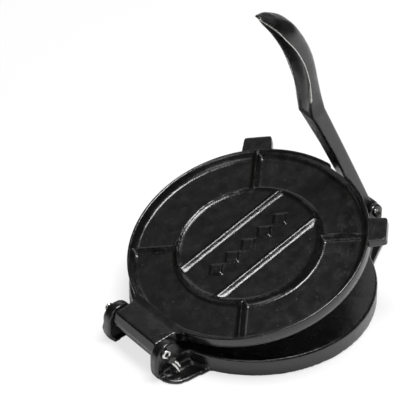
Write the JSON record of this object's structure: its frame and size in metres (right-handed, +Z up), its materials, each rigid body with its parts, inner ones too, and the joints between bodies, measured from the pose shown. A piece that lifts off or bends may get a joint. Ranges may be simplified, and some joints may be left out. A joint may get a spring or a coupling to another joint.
{
  "type": "tortilla press",
  "caption": "Cast-iron hand press with a hinged round lid, a flat round base and a long curved lever that pushes the lid down.",
  "frame": {"origin": "centre of the base disc on the surface that the press stands on", "axes": "+Z up; +X from the lid's hinge to the lever's bracket; +Y along both hinge rods"},
  "size_m": [0.2702, 0.211, 0.2952],
  "materials": {
    "base": "satin",
    "lid": "satin",
    "handle": "satin",
    "rod": "satin",
    "split_pin": "satin"
  },
  "bodies": {
    "base": {"base": "base"},
    "hinge_pins": {"hinge_rod": "rod", "hinge_pin_near": "split_pin", "hinge_pin_far": "split_pin"},
    "lid": {"lid": "lid"},
    "lever_pins": {"pivot_rod": "rod", "pivot_pin_near": "split_pin", "pivot_pin_far": "split_pin"},
    "handle": {"handle": "handle"}
  },
  "joints": [
    {"name": "lever_press", "type": "hinge", "parent": "base", "child": "lever_pins", "pos_m": [0.12802, 0, 0.0315], "axis": [0, -1, 0], "range_deg": [0, 15.9]},
    {"name": "lever_fold_back", "type": "hinge", "parent": "lever_pins", "child": "handle", "pos_m": [0.12802, 0, 0.0315], "axis": [0, -1, 0], "range_deg": [-112, 0]},
    {"name": "lid_press_down", "type": "hinge", "parent": "base", "child": "hinge_pins", "pos_m": [-0.121, 0, 0.0202], "axis": [0, -1, 0], "range_deg": [-15.9, 0]},
    {"name": "lid_lift", "type": "hinge", "parent": "hinge_pins", "child": "lid", "pos_m": [-0.121, 0, 0.0202], "axis": [0, -1, 0], "range_deg": [0, 159]}
  ],
  "couplings": [
    {"joint": "lid_press_down", "follows": "lever_press", "ratio": -1}
  ]
}
